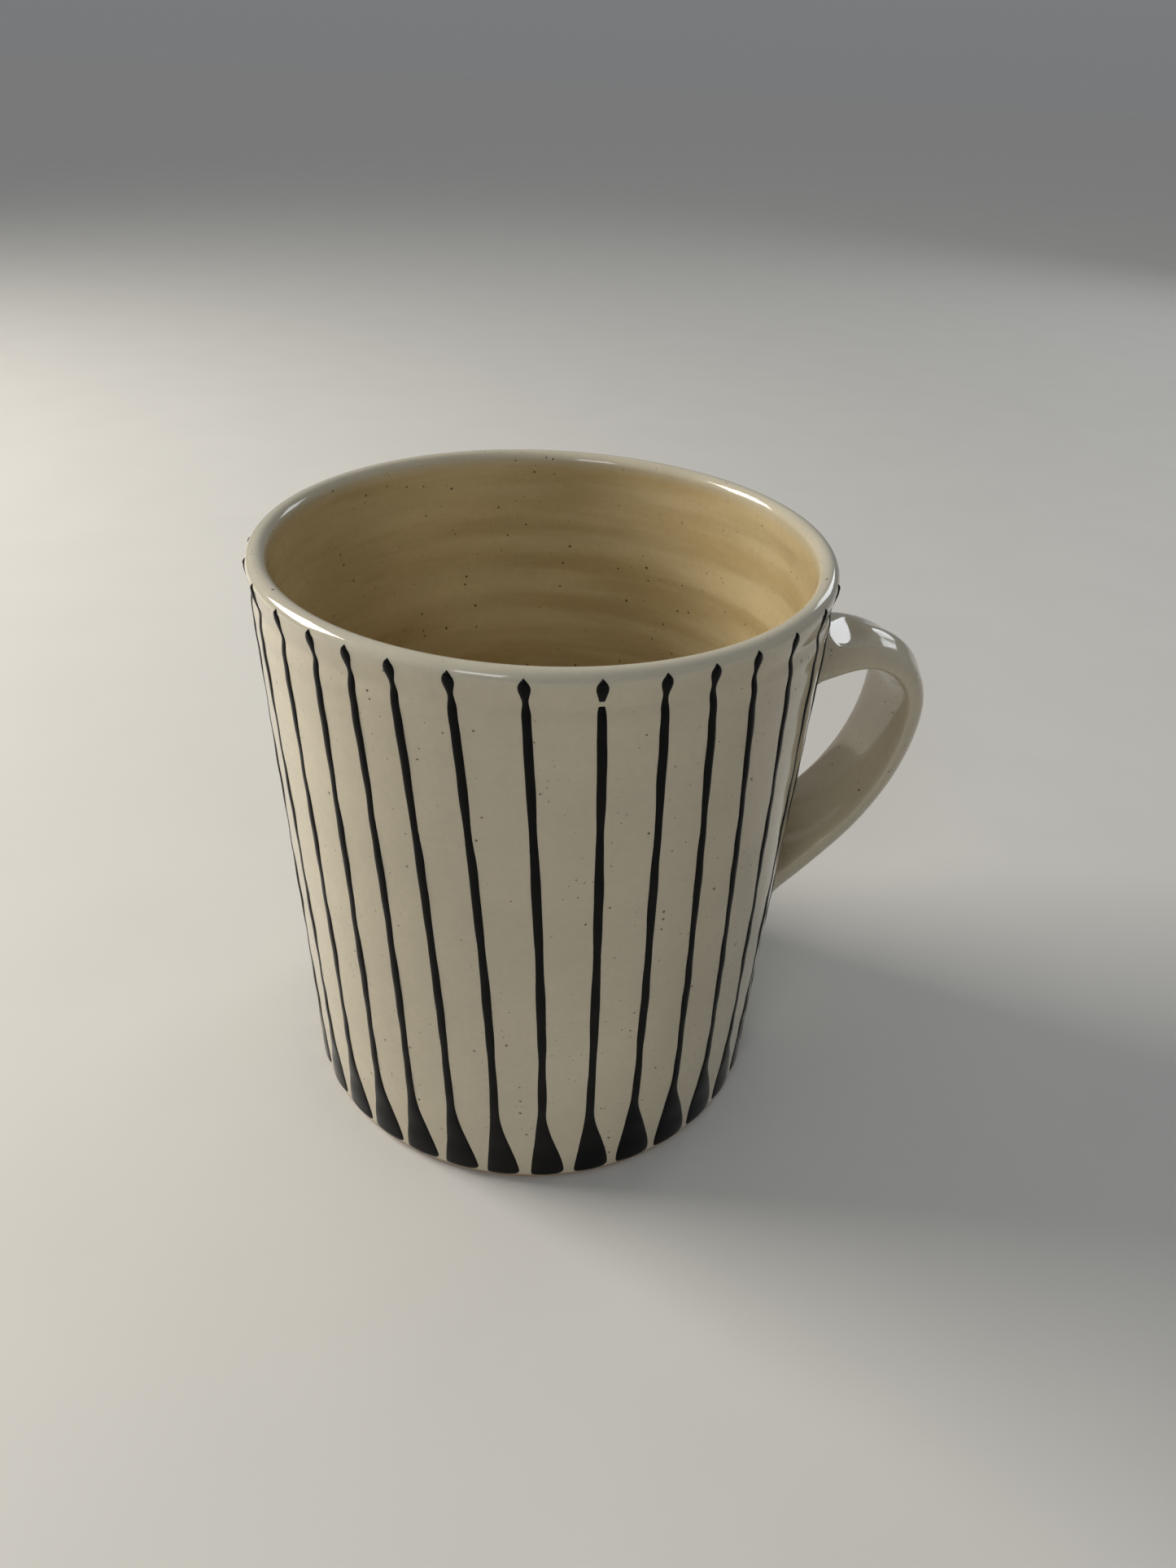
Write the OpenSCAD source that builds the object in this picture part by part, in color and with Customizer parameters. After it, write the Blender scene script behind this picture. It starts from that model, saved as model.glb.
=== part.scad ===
// Hand-thrown mug: a cylindrical cup with a rolled lip, a pulled strap handle luted on at two
// places, and black slip stripes trailed down the wall from the lip to the foot.
// Millimetres, +Z up. The origin is the centre of the base, and the handle points along +X.

/* [Cup] */
// Height of the mug, to the crest of the lip
height = 98.7; // [92:0.1:104]
// Radius of the wall where it meets the foot
base_r = 41.2; // [40:0.1:43]
// Radius of the lip at its widest
rim_r = 44.1; // [43.6:0.1:44.6]
// Thickness of the floor
floor_t = 5.5; // [4:0.5:8]
// Thickness of the wall just under the lip
wall_top_t = 2.9; // [2.4:0.1:3.4]
// Thickness of the wall just above the floor
wall_base_t = 3.7; // [3:0.1:5]
// Radius of the corner between wall and floor, inside
corner_r = 9; // [4:0.5:14]

/* [Lip and foot] */
// Half the thickness of the rolled lip
lip_half_t = 1.55; // [1.3:0.05:1.7]
// Height of the lip's rounded crest above its widest line
lip_crest = 1.6; // [1.3:0.05:2]
// Depth of the finger crease under the lip
crease_depth = 0.2; // [0.1:0.05:0.4]
// Height and width of the bare bevel round the foot
foot_bevel = 0.8; // [0.5:0.1:1.2]

/* [Handle] */
// Width of the strap
strap_w = 18; // [15:0.5:20]
// Height of the strap's domed outer face over its edges
strap_crown = 4.2; // [3:0.1:5]
// Depth of the strap's flatter inner face below its edges
strap_belly = 2.3; // [1.5:0.1:3]
// Distance from the cup's axis to the strap's centre line at its widest reach
reach = 62.7; // [60:0.1:65]
// Height of the strap's centre line at its widest reach
reach_z = 69.6; // [67:0.1:71]
// Radius of the tight bend at the top of the handle
top_bend_r = 10.5; // [8:0.5:12]
// Radius of the easy bend down the handle's back
back_bend_r = 36; // [32:1:40]
// Slope of the upper arm where it leaves the wall, in degrees
arm_slope = 17; // [10:1:20]
// Slope of the lower arm from the vertical, in degrees
tail_slope = 46; // [42:1:50]
// Spread of the clay worked round each end of the handle
lute_spread = 2.2; // [1.2:0.1:3]
// How far that clay reaches along the strap
lute_reach = 4; // [2.5:0.5:5]
// Depth of the thumb dent on top of the handle
thumb_depth = 1.1; // [0.5:0.1:1.5]

/* [Slip stripes] */
// Number of stripes
stripe_count = 31; // [8:1:31]
// Angle from one stripe to the next, in degrees
stripe_pitch = 10.45; // [10.3:0.05:10.5]
// Angle of the first stripe from the handle, in degrees
first_stripe = 25.8; // [25:0.1:27]
// Thickness of the slip on the wall
slip_t = 0.25; // [0.2:0.05:0.4]
// Width of a line near the lip
line_top_w = 1.15; // [0.8:0.05:1.4]
// Width of a line just above the drop at its foot
line_foot_w = 1.25; // [0.9:0.05:1.8]
// Mean width of the drop at the foot of a stripe
drop_w = 5.6; // [4.5:0.1:6]
// Height at which a line starts to widen into its drop
drop_top = 17.4; // [13:0.1:21]
// Height of the drop's lower edge
drop_foot = 1.4; // [1.3:0.1:2.5]

/* [Hidden] */
stripe_names = [for (n = [1 : stripe_count]) str("slip_stripe_", n < 10 ? "0" : "", n)];

clay = "#d9d2c0";
slip = "#17191c";
round_fn = 96;
arc_steps = 8;                 // straight pieces in each quarter of the lip's curve
crease_z = height - 5.2;
crease_half_h = 1.6;
lip_z = height - lip_crest;    // height of the lip's widest line
lip_r = rim_r - lip_half_t;    // radius of the lip's middle
wall_top_r = rim_r - 0.15;     // radius the wall's straight slope would have at full height

section_steps = 48;            // points round the strap's section
edge_square = 0.75;            // exponent that squares up the strap's edges
face_square = 0.8;             // exponent that flattens its faces
buried = 8;                    // how far the arms run on into the wall before they are trimmed
thumb_r = 16;
slab = 0.2;
seam = 0.02;                   // how far the collar between the two bends stands proud

lean_mean = 7;                 // degrees from a stripe's head to its drop
lean_swing = 2;
wander = 0.7;
drop_shift = 2;                // degrees from the line to the middle of its drop
neck_z = height - 4.3;         // narrow neck under the bead at a stripe's head
tip_z = height - 0.8;
bead_w = 1.05;
neck_w = 0.85;
broken_stripe = 25;            // this stripe's bead stands apart from its line
broken_gap = 0.6;

// Radius of the wall's outer face at height z, without lip or crease
function wall_r(z) = base_r + (wall_top_r - base_r) * z / height;

// Outer face from the foot's bevel to the lip's crest, moved out by t
function outer_line(t = 0) = concat(
    [[base_r + t, foot_bevel]],
    [[wall_r(crease_z - crease_half_h) + t, crease_z - crease_half_h]],
    [[wall_r(crease_z) - crease_depth + t, crease_z]],
    [for (k = [-3 : arc_steps * 1.5 - 2])
        let (a = k * 90 / (arc_steps + 2))
        [lip_r + (lip_half_t + t) * cos(a), lip_z + (lip_crest + t) * sin(a)]]
);

// Inner face from the lip's crest down to the middle of the floor
function inner_line() =
    let (top_r = wall_r(crease_z) - wall_top_t,
         foot_r = base_r - wall_base_t,
         corner_z = floor_t + corner_r)
    concat(
        [for (k = [1 : arc_steps])
            let (a = 90 + k * 90 / arc_steps)
            [lip_r + lip_half_t * cos(a), lip_z + lip_crest * sin(a)]],
        [[top_r, crease_z - 2 * crease_half_h]],
        [for (k = [0 : arc_steps])
            let (a = -k * 90 / arc_steps)
            [foot_r - corner_r + corner_r * cos(a), corner_z + corner_r * sin(a)]],
        [[0, floor_t]]
    );

// Everything inside the cup's outer face, hollow or not
module cup_envelope() {
    rotate_extrude($fn = round_fn)
        polygon(concat([[0, 0], [base_r - foot_bevel, 0]], outer_line(), [[0, height]]));
}

module cup_body() {
    color(clay)
        rotate_extrude($fn = round_fn)
            polygon(concat([[0, 0], [base_r - foot_bevel, 0]], outer_line(), inner_line()));
}

// Signed power, for the strap's rounded section
function spow(v, e) = sign(v) * pow(abs(v), e);

// The strap's section: x points away from the hand's side, y runs across the strap
module strap_section(grow = 0) {
    polygon([for (k = [0 : section_steps - 1])
        let (a = (k + 0.5) * 360 / section_steps,
             half = (sin(a) > 0 ? strap_crown : strap_belly) + grow)
        [half * spow(sin(a), face_square), (strap_w / 2 + grow) * spow(cos(a), edge_square)]]);
}

// Places its children at a point of the handle's plane, with x along the outward normal
// at the given angle from +X, y across the strap and z along the strap towards its top end
module on_strap(x, z, angle) {
    translate([x, 0, z])
        rotate([0, -angle, 0])
            mirror([0, 1, 0])
                children();
}

top_bend_x = reach - top_bend_r;
back_bend_x = reach - back_bend_r;
arm_angle = 90 + arm_slope;
arm_x = top_bend_x + top_bend_r * cos(arm_angle);
arm_z = reach_z + top_bend_r * sin(arm_angle);
arm_run = (arm_x - wall_r(arm_z)) / cos(arm_slope);
tail_x = back_bend_x + back_bend_r * cos(tail_slope);
tail_z = reach_z - back_bend_r * sin(tail_slope);
tail_run = (tail_x - wall_r(tail_z)) / sin(tail_slope);

// A bend of the strap about a point of the handle's plane, between two angles
module strap_bend(x, r, from, to) {
    translate([x, 0, reach_z])
        rotate([90, -from, 0])
            rotate_extrude(angle = to - from, $fn = round_fn)
                translate([r, 0])
                    strap_section();
}

module arm(length, grow = 0) {
    on_strap(arm_x, arm_z, arm_angle)
        linear_extrude(length)
            strap_section(grow);
}

module tail(length) {
    on_strap(tail_x, tail_z, -tail_slope)
        translate([0, 0, -length])
            linear_extrude(length)
                strap_section();
}

module strap() {
    arm(arm_run + buried);
    strap_bend(top_bend_x, top_bend_r, 0, arm_angle);
    // a collar too thin to see, which makes one solid of the two bends
    on_strap(reach, reach_z, 0)
        linear_extrude(slab, center = true)
            strap_section(seam);
    strap_bend(back_bend_x, back_bend_r, -tail_slope, 0);
    tail(tail_run + buried);
}

module handle() {
    color(clay)
        difference() {
            strap();
            cup_envelope();
            // thumb dent, where the thumb rests on the upper arm
            on_strap(arm_x, arm_z, arm_angle)
                translate([strap_crown + thumb_r - thumb_depth, 0, arm_run / 2])
                    sphere(thumb_r, $fn = round_fn);
        }
}

// Clay worked round an end of the strap, widest at the wall
module lute(run) {
    hull() {
        translate([0, 0, run - lute_reach])
            linear_extrude(slab)
                strap_section(slab);
        translate([0, 0, run])
            linear_extrude(buried / 2)
                strap_section(lute_spread);
    }
}

module handle_upper_joint() {
    color(clay)
        difference() {
            on_strap(arm_x, arm_z, arm_angle)
                lute(arm_run);
            strap();
            cup_envelope();
        }
}

module handle_lower_joint() {
    color(clay)
        difference() {
            on_strap(tail_x, tail_z, -tail_slope)
                mirror([0, 0, 1])
                    lute(tail_run);
            strap();
            cup_envelope();
        }
}

// Every stripe leans the same way, and the lean, spacing and drops vary in slow waves round the
// cup, as they do when a hand trails one stripe after another
function lean(n) = lean_mean + lean_swing * cos(60 * (n - 22.5));
function stripe_angle(n) = first_stripe + stripe_pitch * (n - 1) + wander * cos(30 * (n - 17.5));
function left_share(n) = 0.27 + 0.14 * cos(30 * (n - 28));
function stripe_drop_w(n) = drop_w + 0.5 * cos(45 * (n - 27.5));

function smooth_step(u) = let (v = min(1, max(0, u))) v * v * (3 - 2 * v);

// Middle of stripe n at height z, in millimetres sideways from the middle of its drop
function stripe_mid(n, z) =
    let (up = max(0, (z - drop_top) / (height - drop_top)),
         shift = drop_shift * (1 - left_share(n)),
         turn = shift + (lean(n) - shift) * pow(up, 1.4))
    -wall_r(z) * sin(turn) + 0.1 * sin(4.3 * z + 61 * n);

// Width of the line, which narrows at the neck and swells again in the bead above it
function line_w(n, z) =
    let (s = min(1, max(0, (z - neck_z) / (tip_z - neck_z))),
         body = line_foot_w + (line_top_w - line_foot_w) * z / height + 0.05 * sin(11 * z + 37 * n))
    z > neck_z ? neck_w * (1 - s) + bead_w * sin(180 * pow(s, 1.6))
    : body + (neck_w - body) * smooth_step((z - neck_z + 2) / 2);

// Extra width of the drop at height z: none above drop_top, rounded in at its lower corners
function drop_flare(n, z) =
    let (full_z = 0.6 + 10 * (left_share(n) - 0.13),
         tuck = max(0, 1 - (z - drop_foot) / 1.2))
    (stripe_drop_w(n) - line_foot_w) * smooth_step((drop_top - z) / (drop_top - full_z))
    - 2.2 * (1 - sqrt(1 - tuck * tuck));

function left_edge(n, z) = stripe_mid(n, z) - line_w(n, z) / 2 - left_share(n) * drop_flare(n, z);
function right_edge(n, z) =
    stripe_mid(n, z) + line_w(n, z) / 2 + (1 - left_share(n)) * drop_flare(n, z);

drop_heights = [for (k = [0 : 14]) drop_foot + (drop_top + 1 - drop_foot) * pow(k / 14, 1.7)];
line_heights = [for (k = [1 : 9]) drop_top + 1 + (neck_z - 3 - drop_top) * k / 9];
neck_heights = [neck_z - 1, neck_z - 0.4];
bead_heights = [for (k = [0 : 7]) neck_z + (tip_z - neck_z) * k / 7];

// The outline of part of a stripe, up its left edge and down its right
module stripe_outline(n, heights) {
    last = len(heights) - 1;
    polygon(concat(
        [for (k = [0 : last]) [left_edge(n, heights[k]), heights[k]]],
        [for (k = [last : -1 : 0]) [right_edge(n, heights[k]), heights[k]]]
    ));
}

// A skin of slip over the whole outer face, from which each stripe is cut
module slip_skin() {
    outer = outer_line(slip_t);
    inner = outer_line();
    last = len(inner) - 1;
    rotate_extrude($fn = round_fn)
        polygon(concat(outer, [for (k = [last : -1 : 0]) inner[k]]));
}

module slip_stripe(n) {
    color(slip)
        intersection() {
            slip_skin();
            rotate([0, 0, stripe_angle(n)])
                translate([base_r - 10, 0, 0])
                    rotate([90, 0, 90])
                        linear_extrude(20) {
                            gap = n == broken_stripe ? broken_gap : 0;
                            body_heights = concat(drop_heights, line_heights, neck_heights);
                            if (gap > 0) {
                                stripe_outline(n, body_heights);
                                stripe_outline(n, [for (z = bead_heights) if (z > neck_z) z]);
                            } else {
                                stripe_outline(n, concat(body_heights, bead_heights));
                            }
                        }
        }
}

cup_body();
handle();
handle_upper_joint();
handle_lower_joint();
for (n = [1 : stripe_count])
    slip_stripe(n);
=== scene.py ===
"""A hand-thrown, glazed mug with trailed slip stripes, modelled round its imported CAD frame."""

import math

import bmesh
import bpy
from bpy.props import FloatProperty, FloatVectorProperty, IntProperty, PointerProperty
from mathutils import Matrix, Vector, noise


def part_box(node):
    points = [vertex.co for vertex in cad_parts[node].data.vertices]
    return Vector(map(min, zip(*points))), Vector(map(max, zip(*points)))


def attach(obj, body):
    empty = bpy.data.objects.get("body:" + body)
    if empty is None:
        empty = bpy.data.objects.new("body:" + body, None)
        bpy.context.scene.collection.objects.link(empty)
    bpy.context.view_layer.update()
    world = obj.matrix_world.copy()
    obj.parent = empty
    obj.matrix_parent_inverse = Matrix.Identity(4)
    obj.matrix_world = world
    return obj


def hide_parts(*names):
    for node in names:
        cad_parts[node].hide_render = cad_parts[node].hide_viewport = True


bl_info = {
    "name": "Slip-trailed mug",
    "version": (1, 0, 0),
    "blender": (4, 5, 0),
    "location": "View3D > Sidebar > Mug",
    "description": "Models a hand-thrown mug with a pulled handle and trailed slip stripes",
    "category": "Add Mesh",
}

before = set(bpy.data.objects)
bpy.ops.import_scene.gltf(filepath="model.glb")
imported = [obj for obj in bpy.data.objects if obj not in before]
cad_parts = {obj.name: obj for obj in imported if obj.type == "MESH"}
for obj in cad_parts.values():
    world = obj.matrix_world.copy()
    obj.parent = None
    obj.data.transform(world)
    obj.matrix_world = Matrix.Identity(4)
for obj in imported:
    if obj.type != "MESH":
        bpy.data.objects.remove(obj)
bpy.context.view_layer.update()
CUP_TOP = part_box("cup_body")[1].z
STRIPE_NODES = sorted(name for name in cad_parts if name.startswith("slip_stripe_"))
MM = 0.001  # one millimetre, in metres
BODY = "root"


# ---- Settings -------------------------------------------------------------------------------


def length(name, millimetres, description):
    """A length property, with its default given in millimetres."""
    return FloatProperty(
        name=name, description=description, default=millimetres * MM, min=0.0,
        precision=5, unit="LENGTH", subtype="DISTANCE",
    )


def angle(name, degrees, description):
    """An angle property, with its default given in degrees."""
    return FloatProperty(
        name=name, description=description, default=math.radians(degrees),
        unit="ROTATION", subtype="ANGLE",
    )


def share(name, value, description):
    """A property that is a plain number from 0 to 1."""
    return FloatProperty(
        name=name, description=description, default=value, min=0.0, max=1.0, subtype="FACTOR"
    )


def power(name, watts, description):
    """A light's power property."""
    return FloatProperty(
        name=name, description=description, default=watts, min=0.0, unit="POWER"
    )


def colour(name, value, description):
    """A colour property."""
    return FloatVectorProperty(
        name=name, description=description, default=value, size=3, min=0.0, max=1.0,
        subtype="COLOR",
    )


class MugCupSettings(bpy.types.PropertyGroup):
    """Sizes of the thrown cup."""

    height: length("Height", CUP_TOP / MM, "From the table to the crest of the lip")
    base_radius: length("Base radius", 41.2, "Radius of the wall where it meets the foot")
    rim_radius: length("Rim radius", 44.1, "Radius of the lip at its widest")
    slope_inset: length("Slope inset", 0.15, "How far the wall's slope stays inside the lip")
    floor: length("Floor", 5.5, "Thickness of the floor")
    wall_top: length("Wall at top", 2.9, "Thickness of the wall under the lip")
    wall_base: length("Wall at base", 3.7, "Thickness of the wall above the floor")
    corner: length("Corner", 9.0, "Radius between the wall and the floor, inside")
    lip_half: length("Lip", 1.55, "Half the thickness of the rolled lip")
    lip_crest: length("Lip crest", 1.6, "Height of the crest above the lip's widest line")
    crease: length("Crease", 0.32, "Depth of the finger crease under the lip")
    bevel: length("Foot bevel", 0.8, "Height and width of the bare bevel round the foot")
    glaze: length("Glaze", 0.12, "Thickness of the glaze where it stops above the foot")
    ring_outside: length("Rings outside", 0.035, "Depth of the throwing rings outside")
    ring_inside: length("Rings inside", 0.065, "Depth of the throwing rings inside")
    ring_pitch: length("Ring pitch", 7.5, "Distance from one throwing ring to the next")
    oval: share("Oval", 0.0014, "How far the mouth is from a true circle")
    waver: length("Lip waver", 0.18, "How far the crest of the lip rises and falls")
    turns: IntProperty(name="Turns", description="Steps round the cup", default=288, min=48)


class MugHandleSettings(bpy.types.PropertyGroup):
    """Sizes of the pulled handle."""

    width: length("Width", 18.0, "Width of the strap")
    crown: length("Crown", 3.6, "Height of the domed outer face over the strap's edges")
    belly: length("Belly", 2.3, "Depth of the flatter inner face below the strap's edges")
    arm_crown: length("Arm crown", 2.0, "The same height along the upper arm, which is flatter")
    curl: length("Curl", 1.0, "How far the strap's edges turn in towards the cup")
    root_swell: length("Root swell", 2.8, "Extra height of the strap at its upper end")
    tail_swell: length("Tail swell", 1.4, "Extra height of the strap towards its lower end")
    ridge: length("Ridge", 0.6, "Height of the soft ridge along the outer face")
    reach: length("Reach", 62.7, "From the cup's axis to the strap's centre line")
    reach_height: length("Reach height", 69.6, "Height at which the strap reaches out most")
    top_bend: length("Top bend", 10.5, "Radius of the tight bend at the top")
    back_bend: length("Back bend", 36.0, "Radius of the easy bend down the back")
    arm_slope: angle("Arm slope", 17.0, "Rise of the upper arm as it leaves the wall")
    tail_slope: angle("Tail slope", 46.0, "Lean of the lower arm from the vertical")
    blend: length("Blend", 3.4, "Size of the clay blended in round each end")
    flat_height: length("Thumb flat", 83.0, "Height of the flat wiped on the handle's upper end")


class MugStripeSettings(bpy.types.PropertyGroup):
    """Sizes of the trailed slip."""

    pitch: angle("Pitch", 10.45, "Angle from one stripe to the next")
    first: angle("First", 25.8, "Angle of the first stripe from the handle")
    line_thick: length("Line thickness", 0.2, "Height of a line over the wall")
    drop_thick: length("Drop thickness", 0.42, "Height of a drop over the wall")
    top_width: length("Top width", 1.28, "Width of a line near the lip")
    foot_width: length("Foot width", 1.48, "Width of a line above its drop")
    drop_width: length("Drop width", 6.2, "Mean width of the drops")
    drop_top: length("Drop top", 17.4, "Height at which a line starts to widen")
    drop_foot: length("Drop foot", 1.4, "Height of a drop's lower edge")
    broken: IntProperty(name="Broken", description="Stripe whose head stands apart", default=25)


class MugGlazeSettings(bpy.types.PropertyGroup):
    """Colours of the finishes."""

    outside: colour("Outside", (0.565, 0.495, 0.36), "Glaze over the outer wall")
    inside: colour("Inside", (0.58, 0.465, 0.26), "Glaze inside the cup, where it lies thicker")
    streak: colour("Streak", (0.40, 0.285, 0.12), "Glaze pooled in the throwing rings")
    lip: colour("Lip", (0.55, 0.52, 0.42), "Glaze thinned over the lip")
    speck: colour("Speck", (0.035, 0.02, 0.012), "Iron specks")
    halo: colour("Halo", (0.36, 0.22, 0.10), "Faint rust round the larger specks")
    # painted shade: the colour that darkens the bottom of the wall just above the foot
    painted_foot_shade: colour("Painted foot shade", (0.16, 0.10, 0.06), "Painted shade along the wall just above the foot")
    clay: colour("Bare clay", (0.33, 0.20, 0.105), "Toasted clay of the foot")
    slip: colour("Slip", (0.0022, 0.0022, 0.0026), "Black slip under the glaze")
    slip_thin: colour("Thin slip", (0.008, 0.0065, 0.006), "Slip where it lies thin")


class MugStageSettings(bpy.types.PropertyGroup):
    """Floor, lights and camera."""

    floor: colour("Floor", (0.70, 0.69, 0.66), "Colour of the floor")
    radius: length("Floor radius", 9000.0, "Radius of the floor")
    key: power("Key", 7.0, "Power of the key light")
    fill: power("Fill", 1.1, "Power of the fill light")
    glint: power("Glint", 0.9, "Power of the far light, which shows in the gloss of the handle")
    room: FloatProperty(
        name="Room", description="Strength of the room's light", default=0.27, min=0.0
    )


# ---- Shared shapes --------------------------------------------------------------------------


LIP_BLEND = 1.5 * MM  # height over which the wall swells out to the lip
CREASE_BELOW, CREASE_WIDTH = 3.6 * MM, 1.4 * MM  # the finger crease, from the lip's widest line
GROOVE, GROOVE_BELOW, GROOVE_WIDTH = 0.06 * MM, 9.6 * MM, 1.3 * MM  # fainter groove, from the crest
GLAZE_EDGE = 0.35 * MM  # height over which the glaze comes to its full thickness


def smooth_step(value):
    """Rises smoothly from 0 to 1 as value does."""
    value = min(1.0, max(0.0, value))
    return value * value * (3 - 2 * value)


def swell(value, centre, width):
    """A smooth hump, 1 high at its centre."""
    return math.exp(-(((value - centre) / width) ** 2))


def signed_power(value, exponent):
    """The power of the value's size, with the value's own sign."""
    return math.copysign(abs(value) ** exponent, value)


def slope_radius(cup, z):
    """Radius of the outer wall's plain slope at height z."""
    top = cup.rim_radius - cup.slope_inset
    return cup.base_radius + (top - cup.base_radius) * z / cup.height


def outer_point(cup, z):
    """Radius of the outer face at height z, and the slope of its outward normal."""
    lip_z = cup.height - cup.lip_crest
    if z > lip_z:
        turn = math.asin(min(1.0, (z - lip_z) / cup.lip_crest))
        return cup.rim_radius - cup.lip_half * (1 - math.cos(turn)), turn
    radius = slope_radius(cup, z)
    radius += cup.slope_inset * swell(z, lip_z, LIP_BLEND)
    radius -= cup.crease * swell(z, lip_z - CREASE_BELOW, CREASE_WIDTH)
    radius -= GROOVE * swell(z, cup.height - GROOVE_BELOW, GROOVE_WIDTH)
    radius -= cup.glaze * (1 - smooth_step((z - cup.bevel) / GLAZE_EDGE))
    return radius, 0.0


def by_hand(cup, turn, radius, z, inside=False):
    """A point of the cup, with the slight unevenness that throwing leaves.

    The mouth is a little oval, the rings climb in a spiral, and the crest of the lip wavers.
    """
    up = max(0.0, z / cup.height)
    radius *= 1 + cup.oval * math.cos(2 * turn - 0.6) * up**1.5
    spiral = math.tau * z / cup.ring_pitch + turn
    if inside:
        depth = cup.ring_inside * smooth_step(up * 6) * smooth_step((1 - up) * 9)
        ring = math.sin(spiral + 0.8 * math.sin(3 * turn))
        radius += depth * (ring + 0.5 * math.sin(2.3 * spiral))
    elif 0 < up < 1:
        depth = cup.ring_outside * smooth_step(up * 12) * smooth_step((1 - up) * 9)
        radius += depth * (math.sin(spiral) + 1.2 * math.sin(spiral / 3 + 1))
    z += cup.waver * up**8 * (math.sin(turn + 0.7) * 0.6 + math.sin(3 * turn + 2) * 0.4)
    return Vector((radius * math.cos(turn), radius * math.sin(turn), z))


def make_piece(name, bm, material, nodes, smooth=True):
    """Turns a bmesh into a piece that stands for the given CAD nodes."""
    mesh = bpy.data.meshes.new(name)
    bm.normal_update()
    bm.to_mesh(mesh)
    bm.free()
    for face in mesh.polygons:
        face.use_smooth = smooth
    mesh.materials.append(material)
    piece = bpy.data.objects.new(name, mesh)
    bpy.context.scene.collection.objects.link(piece)
    if nodes:
        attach(piece, BODY)
        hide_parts(*nodes)
    return piece


def even(first, last, steps):
    """Evenly spaced values from first to last, both included."""
    return [first + (last - first) * k / steps for k in range(steps + 1)]


# ---- Cup ------------------------------------------------------------------------------------


FOOT_CURVE = (  # the foot's rounded edge: how far outside the flat base, and how high
    (-0.2 * MM, 0.04 * MM),
    (0.05 * MM, 0.16 * MM),
    (0.38 * MM, 0.42 * MM),
    (0.62 * MM, 0.68 * MM),
)
FLAT_INSET = 0.6 * MM  # how far the flat base stops inside that edge
THROAT = 6.5 * MM  # how far below the crest the lining starts to slope
SHOULDER = 12.0 * MM  # how far below the crest the wall's section gets denser
SPIRAL, SPIRAL_PITCH = 0.12 * MM, 1.1 * MM  # the throwing spiral in the floor


def cup_profile(cup):
    """The cup's section, from the middle of the underside round to the middle of the floor."""
    lip_z = cup.height - cup.lip_crest
    lip_radius = cup.rim_radius - cup.lip_half
    edge = cup.base_radius - cup.bevel
    foot = [(radius, 0.0) for radius in even(0.0, edge - FLAT_INSET, 10)]
    foot += [(edge + out, z) for out, z in FOOT_CURVE]
    shoulder_z = cup.height - SHOULDER
    heights = even(cup.bevel, 2.0 * MM, 8) + even(3.0 * MM, shoulder_z - 1.0 * MM, 50)
    heights += even(shoulder_z, lip_z, 30)
    wall = [(outer_point(cup, z)[0], z) for z in heights]
    lip = [
        (lip_radius + cup.lip_half * math.cos(a), lip_z + cup.lip_crest * math.sin(a))
        for a in even(0.0, math.pi, 26)[1:]
    ]
    throat_z = cup.height - THROAT
    corner_z = cup.floor + cup.corner
    top_radius = slope_radius(cup, throat_z) - cup.wall_top
    foot_radius = cup.base_radius - cup.wall_base
    lining = [(top_radius, z) for z in even(lip_z - 1.2 * MM, throat_z, 3)]
    lining += [
        (top_radius + (foot_radius - top_radius) * t, throat_z + (corner_z - throat_z) * t)
        for t in even(0.0, 1.0, 56)[1:]
    ]
    lining += [
        (foot_radius - cup.corner * (1 - math.cos(a)), corner_z - cup.corner * math.sin(a))
        for a in even(0.0, math.pi / 2, 14)[1:]
    ]
    floor = []
    for radius in even(foot_radius - cup.corner, 0.0, 44)[1:]:
        ripple = SPIRAL * math.sin(radius / SPIRAL_PITCH) * min(1.0, radius / (6 * MM))
        floor.append((radius, cup.floor + ripple))
    return foot + wall + lip + lining + floor


def spun(bm, profile, steps):
    """Spins a section of (radius, height) points round the Z axis into a closed skin."""
    corners = [bm.verts.new((radius, 0.0, z)) for radius, z in profile]
    edges = [bm.edges.new(pair) for pair in zip(corners, corners[1:])]
    bmesh.ops.spin(
        bm, geom=corners + edges, cent=(0, 0, 0), axis=(0, 0, 1), dvec=(0, 0, 0),
        angle=math.tau, steps=steps, use_merge=True, use_duplicate=False,
    )
    bmesh.ops.remove_doubles(bm, verts=bm.verts[:], dist=0.001 * MM)
    bmesh.ops.recalc_face_normals(bm, faces=bm.faces[:])


class MUG_OT_throw_cup(bpy.types.Operator):
    """Throw the cup: wall, floor, foot and rolled lip in one piece of clay"""

    bl_idname = "mug.throw_cup"
    bl_label = "Throw the cup"

    def execute(self, context):
        cup = context.scene.mug_cup
        bm = bmesh.new()
        spun(bm, cup_profile(cup), cup.turns)
        for vert in bm.verts:
            radius, z = math.hypot(vert.co.x, vert.co.y), vert.co.z
            turn = math.atan2(vert.co.y, vert.co.x)
            middle = slope_radius(cup, z) - cup.wall_top / 2
            inside = radius < middle and z > cup.floor / 2
            vert.co = by_hand(cup, turn, radius, z, inside)
        make_piece("thrown_cup", bm, cream_glaze(context), ["cup_body"])
        return {"FINISHED"}


# ---- Handle ---------------------------------------------------------------------------------


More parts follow.
